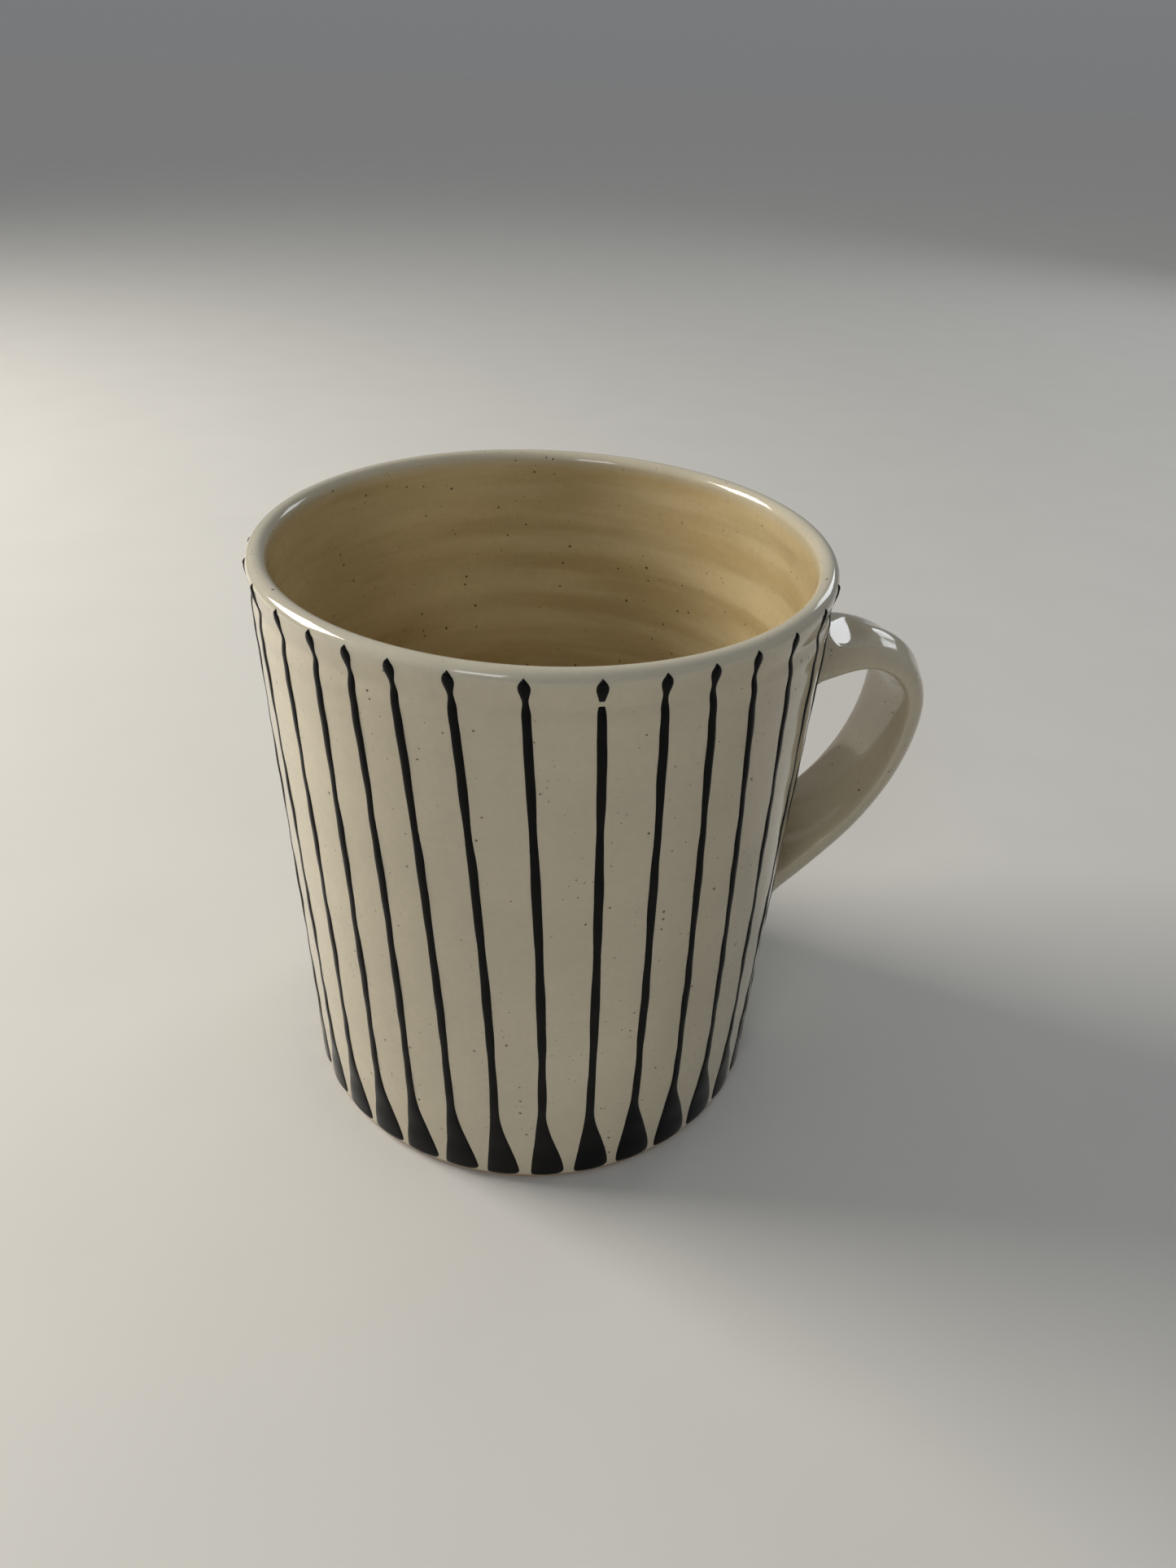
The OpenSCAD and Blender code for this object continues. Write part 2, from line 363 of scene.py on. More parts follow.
BURIED = 1.9 * MM  # how far the strap's ends run on into the wall
LINE_STEP = 0.4 * MM  # spacing of the points along the strap's centre line
EASINGS = 60  # passes that ease the line's bends into one another
AROUND = 72  # steps round the strap
ROOT_SPAN = 6.5 * MM  # how far the swelling at the upper end reaches along the strap
BACK_FROM, BACK_OVER = 12.0 * MM, 18.0 * MM  # where the flat upper arm turns into the crowned back
TAIL_FROM, TAIL_OVER = 0.6, 0.35  # where the lower end grows fuller, as shares of the length
FILLET, UNDER_WALL, UNDER_HEEL = 0.75, 0.83, 0.91  # shares of the way round a blend's section
TINY = 0.001
HALVINGS = 24  # steps of the search for the place where the strap enters the wall
THUMB_NORMAL = Vector((0.42, -0.25, 0.87)).normalized()  # faces out of the thumb's flat
THUMB_PLACE = (-15.0 * MM, -0.6 * MM)  # its middle, from the strap's widest reach
THUMB_RADIUS, THUMB_EASE = 5.0 * MM, 2.0 * MM  # its size, and the soft edge round it


def wall_at(cup, point):
    """Distance of a point outside the hand-thrown wall."""
    turn = math.atan2(point.y, point.x)
    wall = by_hand(cup, turn, outer_point(cup, point.z)[0], point.z)
    return math.hypot(point.x, point.y) - math.hypot(wall.x, wall.y)


class StrapLine:
    """The strap's centre line in the handle's plane, from its upper end to its lower end."""

    def __init__(self, cup, handle):
        bend = self.arc(handle, handle.top_bend, math.pi / 2 + handle.arm_slope, 0.0)
        bend += self.arc(handle, handle.back_bend, 0.0, -handle.tail_slope)[1:]
        to_wall = Vector((-math.cos(handle.arm_slope), -math.sin(handle.arm_slope)))
        to_foot = Vector((-math.sin(handle.tail_slope), -math.cos(handle.tail_slope)))
        start = self.reach_wall(cup, bend[0], to_wall)
        end = self.reach_wall(cup, bend[-1], to_foot)
        self.points = self.respaced([start, *bend, end])
        for _ in range(EASINGS):
            eased = [
                (a + b * 2 + c) / 4
                for a, b, c in zip(self.points, self.points[1:], self.points[2:])
            ]
            self.points = [self.points[0], *eased, self.points[-1]]
        self.points = self.respaced(self.points)
        self.length = LINE_STEP * (len(self.points) - 1)

    @staticmethod
    def arc(handle, radius, first, last):
        """An arc that touches the strap's widest reach, between two angles from +X."""
        centre = Vector((handle.reach - radius, handle.reach_height))
        return [centre + Vector((math.cos(a), math.sin(a))) * radius for a in even(first, last, 40)]

    @staticmethod
    def reach_wall(cup, point, way):
        """Where the line from point along way has gone BURIED deep into the wall."""
        wall = slope_radius(cup, point.y) - BURIED
        return point + way * ((point.x - wall) / -way.x)

    @staticmethod
    def respaced(points):
        """The same line with points at almost LINE_STEP apart."""
        lengths = [0.0]
        for a, b in zip(points, points[1:]):
            lengths.append(lengths[-1] + (b - a).length)
        count = max(2, round(lengths[-1] / LINE_STEP))
        made, k = [], 0
        for wanted in even(0.0, lengths[-1], count):
            while k < len(points) - 2 and lengths[k + 1] < wanted:
                k += 1
            span = lengths[k + 1] - lengths[k]
            made.append(points[k].lerp(points[k + 1], (wanted - lengths[k]) / span))
        return made

    def at(self, along):
        """Centre and outward normal of the line, at a distance along it."""
        place = min(max(along / LINE_STEP, 0.0), len(self.points) - 1.001)
        k = int(place)
        centre = self.points[k].lerp(self.points[k + 1], place - k)
        a = self.points[max(k - 1, 0)].lerp(self.points[k], place - k)
        b = self.points[k + 1].lerp(self.points[min(k + 2, len(self.points) - 1)], place - k)
        way = (b - a).normalized()
        return centre, Vector((-way.y, way.x))


def strap_section(handle, line, along, turn):
    """Offsets across the strap and out from its centre line, at an angle round its section."""
    root = swell(along, BURIED, ROOT_SPAN)
    tail = smooth_step((along / line.length - TAIL_FROM) / TAIL_OVER)
    back = smooth_step((along - BACK_FROM) / BACK_OVER)
    width = handle.width * (1 + 0.02 * root + 0.04 * tail) / 2
    if math.sin(turn) > 0:
        across = width * signed_power(math.cos(turn), 0.86)
        crown = handle.arm_crown + (handle.crown - handle.arm_crown) * back
        height = crown + handle.curl + handle.root_swell * root + handle.tail_swell * tail
        out = height * math.sin(turn) ** 0.94 - handle.curl
        out += handle.ridge * swell(across, -1.6 * MM * (1 - back), 2.4 * MM) * math.sin(turn)
    else:
        across = width * signed_power(math.cos(turn), 0.62)
        height = handle.belly - handle.curl + handle.root_swell * 0.15 * root
        out = height * signed_power(math.sin(turn), 0.8) - handle.curl
    return across, out


def strap_point(handle, line, along, turn, grow=0.0):
    """A point of the strap's surface, or of one that lies outside it by grow."""
    across, out = strap_section(handle, line, along, turn)
    if grow:
        before = Vector(strap_section(handle, line, along, turn - 0.02))
        after = Vector(strap_section(handle, line, along, turn + 0.02))
        way = (after - before).normalized()
        across += grow * way.y
        out -= grow * way.x
    centre, normal = line.at(along)
    return Vector((centre.x + normal.x * out, across, centre.y + normal.y * out))


def thumbed(handle, point, lift=0.0):
    """The point, pressed down on to the flat that the thumb wiped where it stood above it."""
    centre = Vector((handle.reach + THUMB_PLACE[0], THUMB_PLACE[1], handle.flat_height))
    above = (point - centre).dot(THUMB_NORMAL) - lift
    if above <= 0:
        return point
    near = 1 - smooth_step(((point - centre).length - THUMB_RADIUS) / THUMB_EASE)
    return point - THUMB_NORMAL * above * near


def tube(bm, rows, columns, place, ends=True):
    """A closed skin from a grid whose columns run round it and whose rows run along it."""
    made = bmesh.ops.create_grid(bm, x_segments=columns, y_segments=rows, size=0.5)["verts"]
    for vert in made:
        vert.co = place(vert.co.x + 0.5, vert.co.y + 0.5)
    bmesh.ops.remove_doubles(bm, verts=made, dist=0.0005 * MM)
    if ends:
        open_edges = [edge for edge in bm.edges if edge.is_boundary]
        bmesh.ops.holes_fill(bm, edges=open_edges, sides=0)
    bmesh.ops.recalc_face_normals(bm, faces=bm.faces[:])


def end_collar(cup, handle, line, upper):
    """A place function for the clay blended round one end of the strap.

    Its section runs down the visible fillet, then back up inside the wall and the strap.
    """

    def hit(turn):
        """Distance along the line at which this side of the strap enters the wall."""
        near, far = (0.0, 9.0 * MM) if upper else (line.length, line.length - 16.0 * MM)
        for _ in range(HALVINGS):
            middle = (near + far) / 2
            if wall_at(cup, strap_point(handle, line, middle, turn)) < 0:
                near = middle
            else:
                far = middle
        return (near + far) / 2

    def on_wall(point, sunk):
        """The point moved straight in or out to lie just under the wall's face."""
        out = wall_at(cup, point) + sunk
        radius = math.hypot(point.x, point.y)
        return Vector((point.x * (1 - out / radius), point.y * (1 - out / radius), point.z))

    def place(u, v):
        turn = math.tau * u
        entry = hit(turn)
        outward = 1 if upper else -1
        heel = strap_point(handle, line, entry, turn)
        start = strap_point(handle, line, entry + outward * handle.blend, turn, -0.004 * MM)
        lift = 0.0
        if v < FILLET:
            t = v / FILLET
            landing = on_wall(strap_point(handle, line, entry, turn, handle.blend), 0.0)
            point = start * (1 - t) ** 2 + heel * 2 * t * (1 - t) + landing * t**2
            point += on_wall(point, 0.02 * MM * t**4) - on_wall(point, 0.0)
            lift = 0.03 * MM * t
        elif v < UNDER_WALL:
            point = strap_point(handle, line, entry, turn, handle.blend + 0.3 * MM)
            point = on_wall(point, 0.5 * MM)
        elif v < UNDER_HEEL:
            point = on_wall(heel, 1.2 * MM)
            lift = -0.5 * MM
        elif v < 1.0 - TINY:
            point = strap_point(handle, line, entry + outward * handle.blend * 0.8, turn, -0.8 * MM)
            lift = -0.8 * MM
        else:
            point = start
        return thumbed(handle, point, lift) if upper else point

    return place


class MUG_OT_pull_handle(bpy.types.Operator):
    """Pull the strap handle, with a flat wiped by the thumb on its upper end"""

    bl_idname = "mug.pull_handle"
    bl_label = "Pull the handle"

    def execute(self, context):
        cup, handle = context.scene.mug_cup, context.scene.mug_handle
        line = StrapLine(cup, handle)

        def place(u, v):
            return thumbed(handle, strap_point(handle, line, v * line.length, math.tau * u))

        bm = bmesh.new()
        tube(bm, 200, AROUND, place)
        make_piece("pulled_handle", bm, cream_glaze(context), ["handle"])
        return {"FINISHED"}


class MUG_OT_blend_ends(bpy.types.Operator):
    """Blend clay round the two ends of the handle, where they are luted to the wall"""

    bl_idname = "mug.blend_ends"
    bl_label = "Blend the ends"

    def execute(self, context):
        cup, handle = context.scene.mug_cup, context.scene.mug_handle
        line = StrapLine(cup, handle)
        for name, node, upper in (
            ("upper_blend", "handle_upper_joint", True),
            ("lower_blend", "handle_lower_joint", False),
        ):
            bm = bmesh.new()
            tube(bm, 24, AROUND * 2, end_collar(cup, handle, line, upper), ends=False)
            make_piece(name, bm, cream_glaze(context), [node])
        return {"FINISHED"}


# ---- Slip stripes ---------------------------------------------------------------------------


ACROSS = 10  # steps across a stripe
ALONG, ALONG_BEAD = 120, 24  # steps along a stripe, and along a bead that stands apart
LONG_RUN = 20.0 * MM  # a run longer than this is a line, and a shorter one is a bead
SEAT = 0.03 * MM  # how deep a stripe's edge sits in the wall
SLIP_BACK = 0.1 * MM  # how deep the hidden back of a stripe lies under its front
WANDER = math.radians(0.7)  # how far the stripes stray from even spacing
LEAN, LEAN_SWING = math.radians(7), math.radians(2)  # turn from a stripe's drop to its head
DROP_SHIFT = math.radians(2)  # turn from a stripe's own place to its line over the drop, at most
LEFT_SHARE, LEFT_SWING = 0.27, 0.14  # share of a drop that lies left of its line
DROP_SWING = 0.5 * MM  # how far a drop's width varies round the cup
NECK_BELOW, TIP_BELOW = 4.3 * MM, 0.8 * MM  # a bead's two ends, from the crest of the lip
NECK_WIDTH, BEAD_WIDTH = 0.85 * MM, 1.3 * MM  # width at the neck, and what the bead adds to it
HEAD_GAP = 0.6 * MM  # gap under a head that stands apart


def wave(number, step, crest):
    """A slow wave over the stripes' numbers, with its step in degrees and a crest's number."""
    return math.cos(math.radians(step * (number - crest)))


class Stripe:
    """The outline of one trailed stripe on the wall."""

    def __init__(self, cup, stripes, number):
        self.cup, self.stripes, self.number = cup, stripes, number
        even_angle = stripes.first + stripes.pitch * (number - 1)
        self.angle = even_angle + WANDER * wave(number, 30, 17.5)
        self.lean = LEAN + LEAN_SWING * wave(number, 60, 22.5)
        self.left_share = LEFT_SHARE + LEFT_SWING * wave(number, 30, 28)
        self.drop = stripes.drop_width + DROP_SWING * wave(number, 45, 27.5)
        self.neck = cup.height - NECK_BELOW
        self.tip = cup.height - TIP_BELOW

    def middle(self, z):
        """Angle of the stripe's middle at height z."""
        top = self.stripes.drop_top
        up = max(0.0, (z - top) / (self.cup.height - top))
        shift = DROP_SHIFT * (1 - self.left_share)
        sway = 0.12 * MM * noise.noise(Vector((z / (9 * MM), self.number * 7.3, 0.0)))
        return self.angle - shift - (self.lean - shift) * up**1.4 + sway / self.cup.base_radius

    def line_width(self, z):
        """Width of the line, which narrows at the neck and swells in the bead above it."""
        stripes = self.stripes
        width = stripes.foot_width + (stripes.top_width - stripes.foot_width) * z / self.cup.height
        width += 0.16 * MM * noise.noise(Vector((z / (5 * MM), self.number * 3.1, 4.0)))
        if z < self.neck:
            return width + (NECK_WIDTH - width) * smooth_step((z - self.neck + 2 * MM) / (2 * MM))
        up = min(1.0, (z - self.neck) / (self.tip - self.neck))
        return NECK_WIDTH * (1 - up) + BEAD_WIDTH * math.sin(math.pi * up**1.5)

    def flare(self, z):
        """Extra width of the drop at height z, drawn in at its lower corners."""
        stripes = self.stripes
        full = 0.6 * MM + 10 * MM * (self.left_share - 0.13)
        tuck = max(0.0, 1 - (z - stripes.drop_foot) / (1.2 * MM))
        wide = (self.drop - stripes.foot_width) * smooth_step(
            (stripes.drop_top - z) / (stripes.drop_top - full)
        )
        return wide - 1.7 * MM * (1 - math.sqrt(1 - tuck * tuck))

    def edges(self, z):
        """Angles of the left and right edges at height z."""
        middle, line, flare = self.middle(z), self.line_width(z), self.flare(z)
        radius = outer_point(self.cup, z)[0]
        left = middle - (line / 2 + self.left_share * flare) / radius
        return left, middle + (line / 2 + (1 - self.left_share) * flare) / radius

    def thickness(self, z):
        stripes = self.stripes
        drop = smooth_step((stripes.drop_top - z) / stripes.drop_top)
        bead = swell(z, self.cup.height - 2.2 * MM, 1.2 * MM) * 0.12 * MM
        return stripes.line_thick + (stripes.drop_thick - stripes.line_thick) * drop + bead

    def runs(self):
        """The stretches of height that this stripe covers: two where its head stands apart."""
        if self.number == self.stripes.broken:
            bead = self.neck + 0.1 * MM
            return [(self.stripes.drop_foot, bead - HEAD_GAP), (bead, self.tip)]
        return [(self.stripes.drop_foot, self.tip)]


def lay_run(bm, stripe, bottom, top, rows):
    """Adds one domed run of slip to a bmesh, seated a hair into the wall."""
    cup = stripe.cup
    ease = 0.8 if top - bottom > LONG_RUN else 0.4

    def place(u, v):
        z = bottom + (top - bottom) * (v - ease * math.sin(math.tau * v) / math.tau)
        across = math.sin(math.pi / 2 * (2 * u - 1))
        left, right = stripe.edges(z)
        turn = left + (right - left) * (across + 1) / 2
        end = min((z - bottom) / (0.9 * MM), (top - z) / (0.7 * MM), 1.0)
        rounded = math.sqrt(max(0.0, 1 - (1 - max(0.0, end)) ** 2))
        dome = max(0.0, 1 - across * across) ** 0.55
        rise = stripe.thickness(z) * dome * rounded - SEAT
        radius, slope = outer_point(cup, z)
        wall = by_hand(cup, turn, radius, z)
        level = math.cos(slope)
        out = Vector((math.cos(turn) * level, math.sin(turn) * level, math.sin(slope)))
        return wall + out * rise

    made = bmesh.ops.create_grid(bm, x_segments=ACROSS, y_segments=rows, size=0.5)["verts"]
    for vert in made:
        vert.co = place(vert.co.x + 0.5, vert.co.y + 0.5)
    bmesh.ops.remove_doubles(bm, verts=made, dist=0.002 * MM)


def thicken_inwards(bm, thickness):
    """Closes an open skin by giving it a back that lies inside the wall."""
    bmesh.ops.recalc_face_normals(bm, faces=bm.faces[:])
    if sum(face.normal.dot(face.calc_center_median()) for face in bm.faces) < 0:
        bmesh.ops.reverse_faces(bm, faces=bm.faces[:])
    bmesh.ops.solidify(bm, geom=bm.faces[:], thickness=thickness)
    bmesh.ops.recalc_face_normals(bm, faces=bm.faces[:])
    if bm.calc_volume(signed=True) < 0:
        bmesh.ops.reverse_faces(bm, faces=bm.faces[:])


class MUG_OT_trail_stripes(bpy.types.Operator):
    """Trail the slip stripes down the wall, each ending in a drop at the foot"""

    bl_idname = "mug.trail_stripes"
    bl_label = "Trail the stripes"

    def execute(self, context):
        cup, stripes = context.scene.mug_cup, context.scene.mug_stripes
        slip = black_slip(context)
        for number, node in enumerate(STRIPE_NODES, start=1):
            stripe = Stripe(cup, stripes, number)
            bm = bmesh.new()
            for bottom, top in stripe.runs():
                rows = ALONG if top - bottom > LONG_RUN else ALONG_BEAD
                lay_run(bm, stripe, bottom, top, rows)
            thicken_inwards(bm, SLIP_BACK)
            make_piece(f"slip_trail_{number:02d}", bm, slip, [node])
        return {"FINISHED"}


# ---- Materials ------------------------------------------------------------------------------


class Wiring:
    """Adds nodes to a shader tree and links them as it goes."""

    def __init__(self, tree):
        self.tree = tree

    def add(self, kind, inputs=(), **settings):
        """A new node, with values or other nodes' outputs fed to its inputs."""
        node = self.tree.nodes.new(kind)
        for name, value in settings.items():
            setattr(node, name, value)
        for key, value in dict(inputs).items():
            self.feed(node.inputs[key], value)
        return node

    def feed(self, socket, value):
        """Links an output to the socket, or sets the socket's own value."""
        if isinstance(value, bpy.types.NodeSocket):
            self.tree.links.new(value, socket)
        elif socket.type == "RGBA" and len(value) == 3:
            socket.default_value = (*value, 1.0)
        else:
            socket.default_value = value

    def math(self, operation, a, b=0.0, clamp=False):
        node = self.add("ShaderNodeMath", {0: a, 1: b}, operation=operation, use_clamp=clamp)
        return node.outputs[0]

    def plus(self, a, b):
        return self.math("ADD", a, b)

    def minus(self, a, b):
        return self.math("SUBTRACT", a, b)

    def times(self, a, b):
        return self.math("MULTIPLY", a, b)

    def ramp(self, value, low, high, to_low=0.0, to_high=1.0):
        """Maps value smoothly from low..high to to_low..to_high."""
        inputs = {"Value": value, "From Min": low, "From Max": high}
        inputs.update({"To Min": to_low, "To Max": to_high})
        node = self.add("ShaderNodeMapRange", inputs, interpolation_type="SMOOTHSTEP")
        return node.outputs["Result"]

    def mix(self, factor, a, b, blend="MIX"):
        node = self.add("ShaderNodeMix", data_type="RGBA", blend_type=blend)
        self.feed(node.inputs["Factor"], factor)
        self.feed(node.inputs[6], a)
        self.feed(node.inputs[7], b)
        return node.outputs[2]

    def noise(self, vector, scale, detail=2.0, roughness=0.5):
        inputs = {"Vector": vector, "Scale": scale, "Detail": detail, "Roughness": roughness}
        return self.add("ShaderNodeTexNoise", inputs).outputs[0]

    def group(self, tree, **inputs):
        """The outputs of a node group whose inputs are given by name in small letters."""
        node = self.add("ShaderNodeGroup", node_tree=tree)
        for name, value in inputs.items():
            self.feed(node.inputs[name.replace("_", " ").capitalize()], value)
        return node.outputs


def new_group(name, inputs, outputs):
    """An empty shader node group with the given sockets, and the wiring to fill it."""
    tree = bpy.data.node_groups.new(name, "ShaderNodeTree")
    for label, kind, default in inputs:
        socket = tree.interface.new_socket(label, in_out="INPUT", socket_type=kind)
        if default is not None:
            socket.default_value = default
    for label, kind in outputs:
        tree.interface.new_socket(label, in_out="OUTPUT", socket_type=kind)
    wires = Wiring(tree)
    return tree, wires, wires.add("NodeGroupInput").outputs, wires.add("NodeGroupOutput").inputs


def once(name, build):
    """The node group of that name, built the first time it is asked for."""
    return bpy.data.node_groups.get(name) or build(name)


def build_specks(name):
    """Scattered specks: Mask is 1 in a speck, and Near fades out in the stain round it.

    Share is the share of the cells, Spacing wide, that hold a speck, of up to Radius.
    """
    tree, wires, given, result = new_group(
        name,
        [("Vector", "NodeSocketVector", None), ("Spacing", "NodeSocketFloat", 4 * MM),
         ("Radius", "NodeSocketFloat", 0.3 * MM), ("Share", "NodeSocketFloat", 0.3)],
        [("Mask", "NodeSocketFloat"), ("Near", "NodeSocketFloat")],
    )
    scale = wires.math("DIVIDE", 1.0, given["Spacing"])
    cells = wires.add("ShaderNodeTexVoronoi", {"Vector": given["Vector"], "Scale": scale})
    draw = wires.add("ShaderNodeSeparateColor", {0: cells.outputs["Color"]}).outputs
    kept = wires.math("LESS_THAN", draw[0], given["Share"])
    largest = wires.times(given["Radius"], kept)
    size = wires.times(wires.math("POWER", draw[1], 1.3), largest)
    reach = wires.times(cells.outputs["Distance"], given["Spacing"])
    ragged = wires.noise(given["Vector"], 4200.0, 1.0)
    reach = wires.plus(reach, wires.times(wires.minus(ragged, 0.5), 0.12 * MM))
    wires.feed(result["Mask"], wires.ramp(wires.minus(size, reach), 0.0, 0.05 * MM))
    stain = wires.minus(wires.times(size, 2.6), reach)
    wires.feed(result["Near"], wires.ramp(stain, 0.0, 0.7 * MM))
    return tree


def build_mottle(name):
    """Soft cloudy variation about 0.5, squeezed in height by Stretch."""
    tree, wires, given, result = new_group(
        name,
        [("Vector", "NodeSocketVector", None), ("Scale", "NodeSocketFloat", 60.0),
         ("Stretch", "NodeSocketFloat", 1.0), ("Detail", "NodeSocketFloat", 3.0)],
        [("Value", "NodeSocketFloat")],
    )
    shape = wires.add("ShaderNodeCombineXYZ", {0: 1.0, 1: 1.0, 2: given["Stretch"]}).outputs[0]
    drawn = wires.add("ShaderNodeVectorMath", {0: given["Vector"], 1: shape}, operation="MULTIPLY")
    wires.feed(result["Value"], wires.noise(drawn.outputs[0], given["Scale"], given["Detail"]))
    return tree


def new_material(name):
    """A node material, the wiring to fill it, its shader and its object coordinates."""
    material = bpy.data.materials.new(name)
    material.use_nodes = True
    wires = Wiring(material.node_tree)
    shader = material.node_tree.nodes["Principled BSDF"]
    place = wires.add("ShaderNodeTexCoord").outputs["Object"]
    return material, wires, shader, place


def scaled(wires, colour_socket, value, low, high):
    """The colour made darker or lighter as value goes from 0 to 1."""
    factor = wires.ramp(value, 0.25, 0.75, low, high)
    grey = wires.add("ShaderNodeCombineColor", {0: factor, 1: factor, 2: factor}).outputs[0]
    return wires.mix(1.0, colour_socket, grey, "MULTIPLY")


def cream_glaze(context):
    """Glossy cream glaze over speckled clay, bare at the foot."""
    found = bpy.data.materials.get("speckled_cream")
    if found:
        return found
    cup, glaze = context.scene.mug_cup, context.scene.mug_glaze
    material, wires, shader, place = new_material("speckled_cream")
    specks, mottle = once("Iron specks", build_specks), once("Glaze mottle", build_mottle)
    axes = wires.add("ShaderNodeSeparateXYZ", {0: place}).outputs
    height = axes[2]
    squares = wires.plus(wires.times(axes[0], axes[0]), wires.times(axes[1], axes[1]))
    across = wires.math("SQRT", squares)

    # how far inside the middle of the wall a point lies
    rise = (cup.rim_radius - cup.base_radius) / cup.height
    middle = wires.plus(wires.times(height, rise), cup.base_radius - cup.wall_base / 2)
    depth = wires.minus(middle, across)
    above_floor = wires.ramp(height, cup.floor * 0.5, cup.floor * 0.7)
    inside = wires.times(wires.ramp(depth, -0.6 * MM, 1.4 * MM), above_floor)
    lip = wires.ramp(height, cup.height - 3.2 * MM, cup.height - 0.4 * MM)

    clouds = wires.group(mottle, vector=place, scale=38.0, stretch=1.3, detail=4.0)[0]
    rings = wires.group(mottle, vector=place, scale=22.0, stretch=9.0, detail=3.0)[0]
    fine = wires.group(mottle, vector=place, scale=900.0, stretch=1.0, detail=2.0)[0]
    inner = wires.mix(wires.ramp(rings, 0.38, 0.66, 0.0, 0.6), glaze.inside, glaze.streak)
    body = wires.mix(inside, glaze.outside, inner)
    body = wires.mix(wires.times(lip, 0.75), body, glaze.lip)
    body = scaled(wires, body, clouds, 0.93, 1.05)
    body = scaled(wires, body, fine, 0.975, 1.02)

    big = wires.group(specks, vector=place, spacing=1.7 * MM, radius=0.26 * MM, share=0.55)
    small = wires.group(specks, vector=place, spacing=1.1 * MM, radius=0.16 * MM, share=0.6)
    body = wires.mix(wires.times(big["Near"], 0.16), body, glaze.halo)
    body = wires.mix(wires.times(small["Mask"], 0.75), body, glaze.speck)
    body = wires.mix(wires.times(big["Mask"], 0.92), body, glaze.speck)

    # the bare foot, with painted shade along the wall just above it
    edge = wires.plus(height, wires.times(wires.minus(clouds, 0.5), 0.8 * MM))
    bare = wires.ramp(edge, cup.bevel + 0.40 * MM, cup.bevel + 0.30 * MM)
    # painted shade: a dark band along the bottom of the wall, just above the bare foot
    painted_foot_shade = wires.ramp(edge, cup.bevel + 0.85 * MM, cup.bevel + 0.42 * MM, 0.0, 0.6)
    grit = wires.noise(place, 2600.0, 3.0, 0.7)
    clay = scaled(wires, wires.mix(clouds, glaze.clay, glaze.halo), grit, 0.72, 1.2)
    body = wires.mix(painted_foot_shade, body, glaze.painted_foot_shade)
    wires.feed(shader.inputs["Base Color"], wires.mix(bare, body, clay))

    gloss = wires.ramp(clouds, 0.3, 0.7, 0.07, 0.13)
    gloss = wires.plus(gloss, wires.times(big["Mask"], 0.25))
    dull = wires.times(bare, 0.75)
    wires.feed(shader.inputs["Roughness"], wires.math("ADD", gloss, dull, clamp=True))

    ripple = wires.noise(place, 420.0, 2.0, 0.4)
    relief = wires.plus(wires.times(ripple, 0.55), wires.times(fine, 0.06))
    relief = wires.minus(relief, wires.times(big["Mask"], 0.4))
    relief = wires.plus(relief, wires.times(wires.times(bare, grit), 3.0))
    bump = wires.add("ShaderNodeBump", {"Height": relief, "Strength": 0.35, "Distance": 0.06 * MM})
    wires.feed(shader.inputs["Normal"], bump.outputs[0])
    shader.inputs["IOR"].default_value = 1.52
    shader.inputs["Coat Weight"].default_value = 0.35
    shader.inputs["Coat Roughness"].default_value = 0.04
    return material


def black_slip(context):
    """Glossy black slip, a little brown where it lies thin."""
    found = bpy.data.materials.get("trailed_black")
    if found:
        return found
    glaze = context.scene.mug_glaze
    material, wires, shader, place = new_material("trailed_black")
    mottle = once("Glaze mottle", build_mottle)
    clouds = wires.group(mottle, vector=place, scale=260.0, stretch=0.35, detail=4.0)[0]
    thin = wires.ramp(clouds, 0.52, 0.78, 0.0, 0.8)
    wires.feed(shader.inputs["Base Color"], wires.mix(thin, glaze.slip, glaze.slip_thin))
    wires.feed(shader.inputs["Roughness"], wires.ramp(clouds, 0.3, 0.7, 0.12, 0.22))
    shader.inputs["IOR"].default_value = 1.45
    shader.inputs["Specular IOR Level"].default_value = 0.12
    return material


def studio_floor(context):
    """Pale matt floor."""
    stage = context.scene.mug_stage
    material, wires, shader, place = new_material("pale_floor")
    grain = wires.group(once("Glaze mottle", build_mottle), vector=place, scale=30.0, detail=3.0)[0]
    wires.feed(shader.inputs["Base Color"], scaled(wires, stage.floor, grain, 0.985, 1.01))
    shader.inputs["Roughness"].default_value = 0.6
    return material


# ---- Stage ----------------------------------------------------------------------------------


CAMERA_PLACE = Vector((-5.48, -157.66, 159.17)) * MM
CAMERA_ANGLES = (5.032, 33.719, 3.207)  # turn from +Y towards +X, dip and roll, in degrees
HANDLE_TURN = -6.5  # turns that camera's frame so that the handle points along +X, in degrees
FOCAL, LONG_SIDE = 24.98, 36.0  # focal length, and the frame's long side
ROOM_TINT = (0.95, 0.98, 1.0, 1.0)
LIGHTS = (  # name of its power setting, tint, size and place in metres
    ("key", (1.0, 0.94, 0.85), 0.4, (-0.68, 0.30, 0.50)),
    ("fill", (0.95, 0.97, 1.0), 0.28, (-0.45, -0.75, 0.60)),
    ("glint", (0.92, 0.96, 1.0), 0.3, (0.80, 0.72, 0.50)),
)


def area_light(name, power, tint, size, place, target):
    """A soft square light that looks at target."""
    data = bpy.data.lights.new(name, "AREA")
    data.energy, data.size = power, size
    data.color = tint
    lamp = bpy.data.objects.new(name, data)
    bpy.context.scene.collection.objects.link(lamp)
    lamp.location = place
    lamp.rotation_euler = (target - place).to_track_quat("-Z", "Y").to_euler()
    return lamp


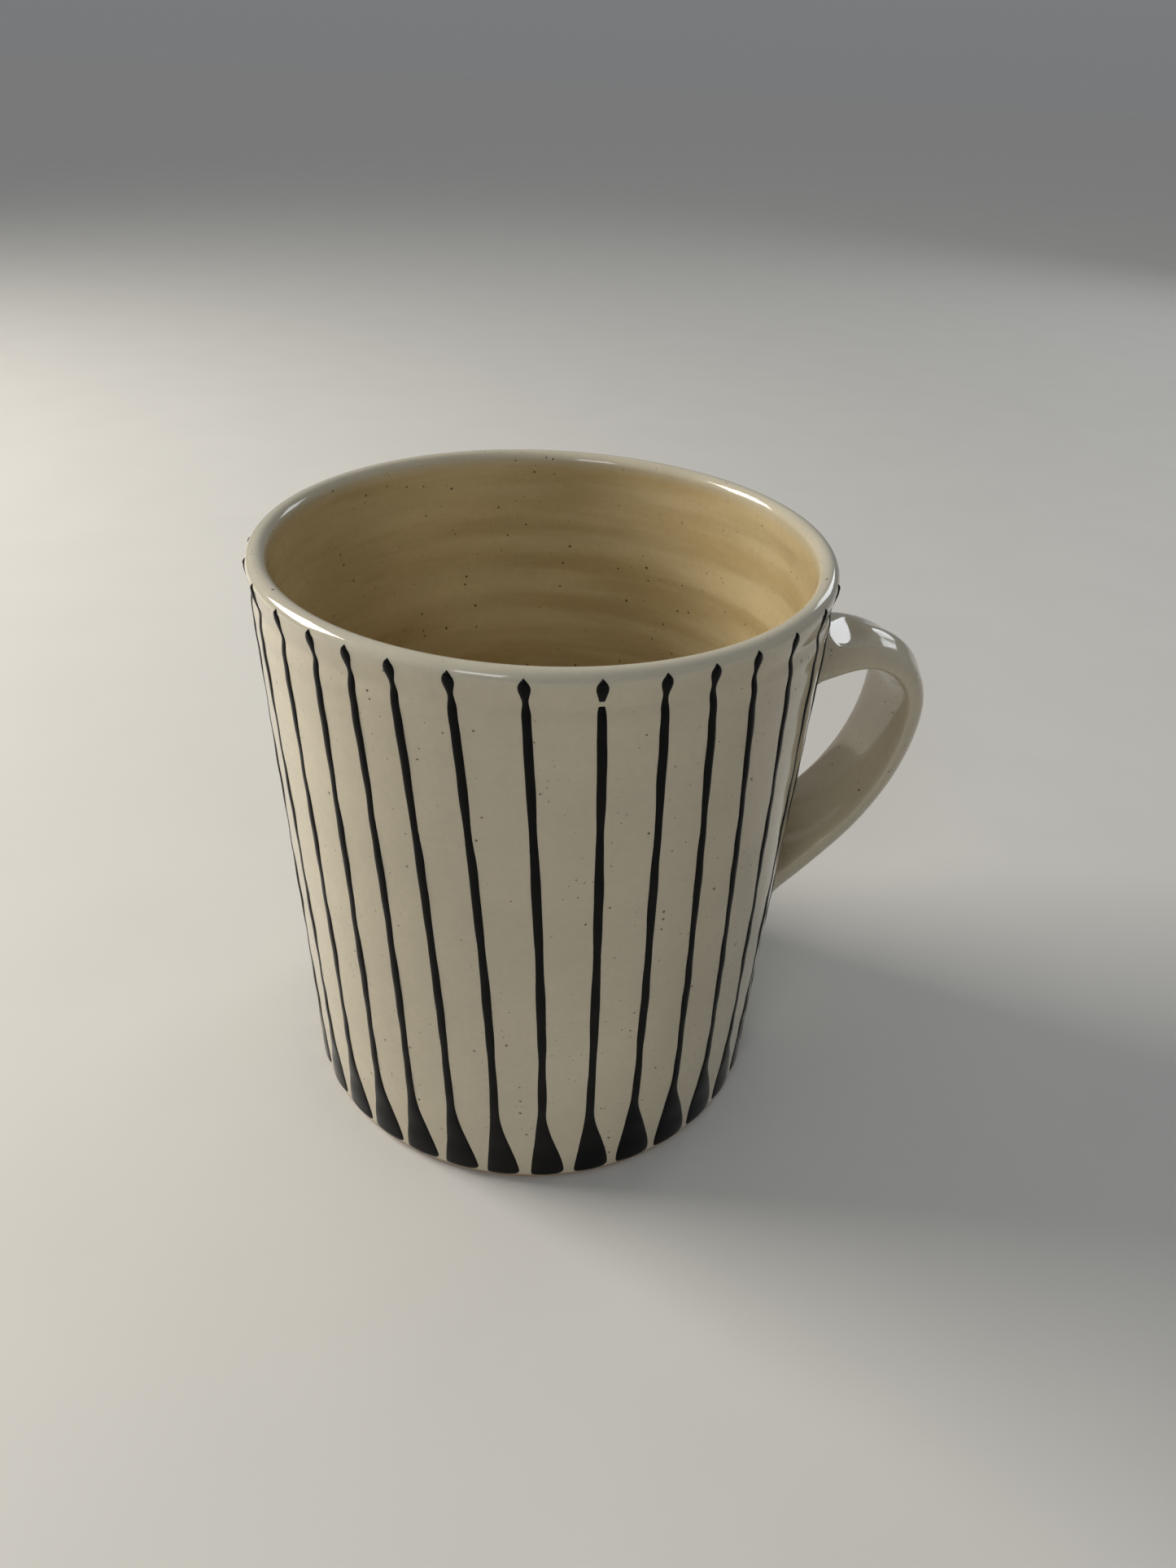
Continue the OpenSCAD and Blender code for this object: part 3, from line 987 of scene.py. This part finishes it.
class MUG_OT_set_stage(bpy.types.Operator):
    """Lay the floor and set the lights and the camera"""

    bl_idname = "mug.set_stage"
    bl_label = "Set the stage"

    def execute(self, context):
        scene, stage = context.scene, context.scene.mug_stage
        bm = bmesh.new()
        bmesh.ops.create_circle(bm, cap_ends=True, segments=96, radius=stage.radius)
        make_piece("floor", bm, studio_floor(context), [], smooth=False)
        middle = Vector((0.0, 0.0, scene.mug_cup.height / 2))
        for name, tint, size, place in LIGHTS:
            area_light(name, getattr(stage, name), tint, size, Vector(place), middle)
        world = bpy.data.worlds.new("soft_room")
        world.use_nodes = True
        wires = Wiring(world.node_tree)
        way = wires.add("ShaderNodeTexCoord").outputs["Generated"]
        above = wires.add("ShaderNodeSeparateXYZ", {0: way})
        horizon = stage.floor[0] * stage.room * 1.04
        sky = wires.ramp(above.outputs[2], 0.0, 0.3, horizon, stage.room)
        background = world.node_tree.nodes["Background"]
        background.inputs["Color"].default_value = ROOM_TINT
        wires.feed(background.inputs["Strength"], sky)
        scene.world = world
        scene.view_settings.view_transform = "Standard"

        turn, dip, roll = (math.radians(value) for value in CAMERA_ANGLES)
        level = math.cos(dip)
        ahead = Vector((math.sin(turn) * level, math.cos(turn) * level, -math.sin(dip)))
        right = Vector((math.cos(turn), -math.sin(turn), 0.0))
        up = right.cross(ahead)
        rolled_right = math.cos(roll) * right + math.sin(roll) * up
        rolled_up = -math.sin(roll) * right + math.cos(roll) * up
        facing = Matrix((rolled_right, rolled_up, -ahead)).transposed().to_4x4()
        data = bpy.data.cameras.new("camera")
        data.lens, data.sensor_width = FOCAL, LONG_SIDE
        data.clip_start, data.clip_end = 10 * MM, 10.0
        camera = bpy.data.objects.new("camera", data)
        scene.collection.objects.link(camera)
        camera.matrix_world = (
            Matrix.Rotation(math.radians(HANDLE_TURN), 4, "Z")
            @ Matrix.Translation(CAMERA_PLACE)
            @ facing
        )
        scene.camera = camera
        return {"FINISHED"}


# ---- Add-on ---------------------------------------------------------------------------------


SETTINGS = {
    "mug_cup": MugCupSettings,
    "mug_handle": MugHandleSettings,
    "mug_stripes": MugStripeSettings,
    "mug_glaze": MugGlazeSettings,
    "mug_stage": MugStageSettings,
}
OPERATORS = (
    MUG_OT_throw_cup,
    MUG_OT_pull_handle,
    MUG_OT_blend_ends,
    MUG_OT_trail_stripes,
    MUG_OT_set_stage,
)


class MUG_PT_sidebar(bpy.types.Panel):
    """Lists the mug's pieces and their settings"""

    bl_idname = "MUG_PT_sidebar"
    bl_label = "Mug"
    bl_space_type = "VIEW_3D"
    bl_region_type = "UI"
    bl_category = "Mug"

    def draw(self, context):
        for operator in OPERATORS:
            self.layout.operator(operator.bl_idname)
        for name in SETTINGS:
            box = self.layout.box()
            group = getattr(context.scene, name)
            for field in group.bl_rna.properties:
                if not field.is_readonly:
                    box.prop(group, field.identifier)


def register():
    for made in (*SETTINGS.values(), *OPERATORS, MUG_PT_sidebar):
        bpy.utils.register_class(made)
    for name, group in SETTINGS.items():
        setattr(bpy.types.Scene, name, PointerProperty(type=group))


def unregister():
    for name in SETTINGS:
        delattr(bpy.types.Scene, name)
    for made in reversed((*SETTINGS.values(), *OPERATORS, MUG_PT_sidebar)):
        bpy.utils.unregister_class(made)


def main():
    register()
    bpy.ops.mug.throw_cup()
    bpy.ops.mug.pull_handle()
    bpy.ops.mug.blend_ends()
    bpy.ops.mug.trail_stripes()
    bpy.ops.mug.set_stage()
    bpy.context.view_layer.update()


if __name__ == "__main__":
    main()
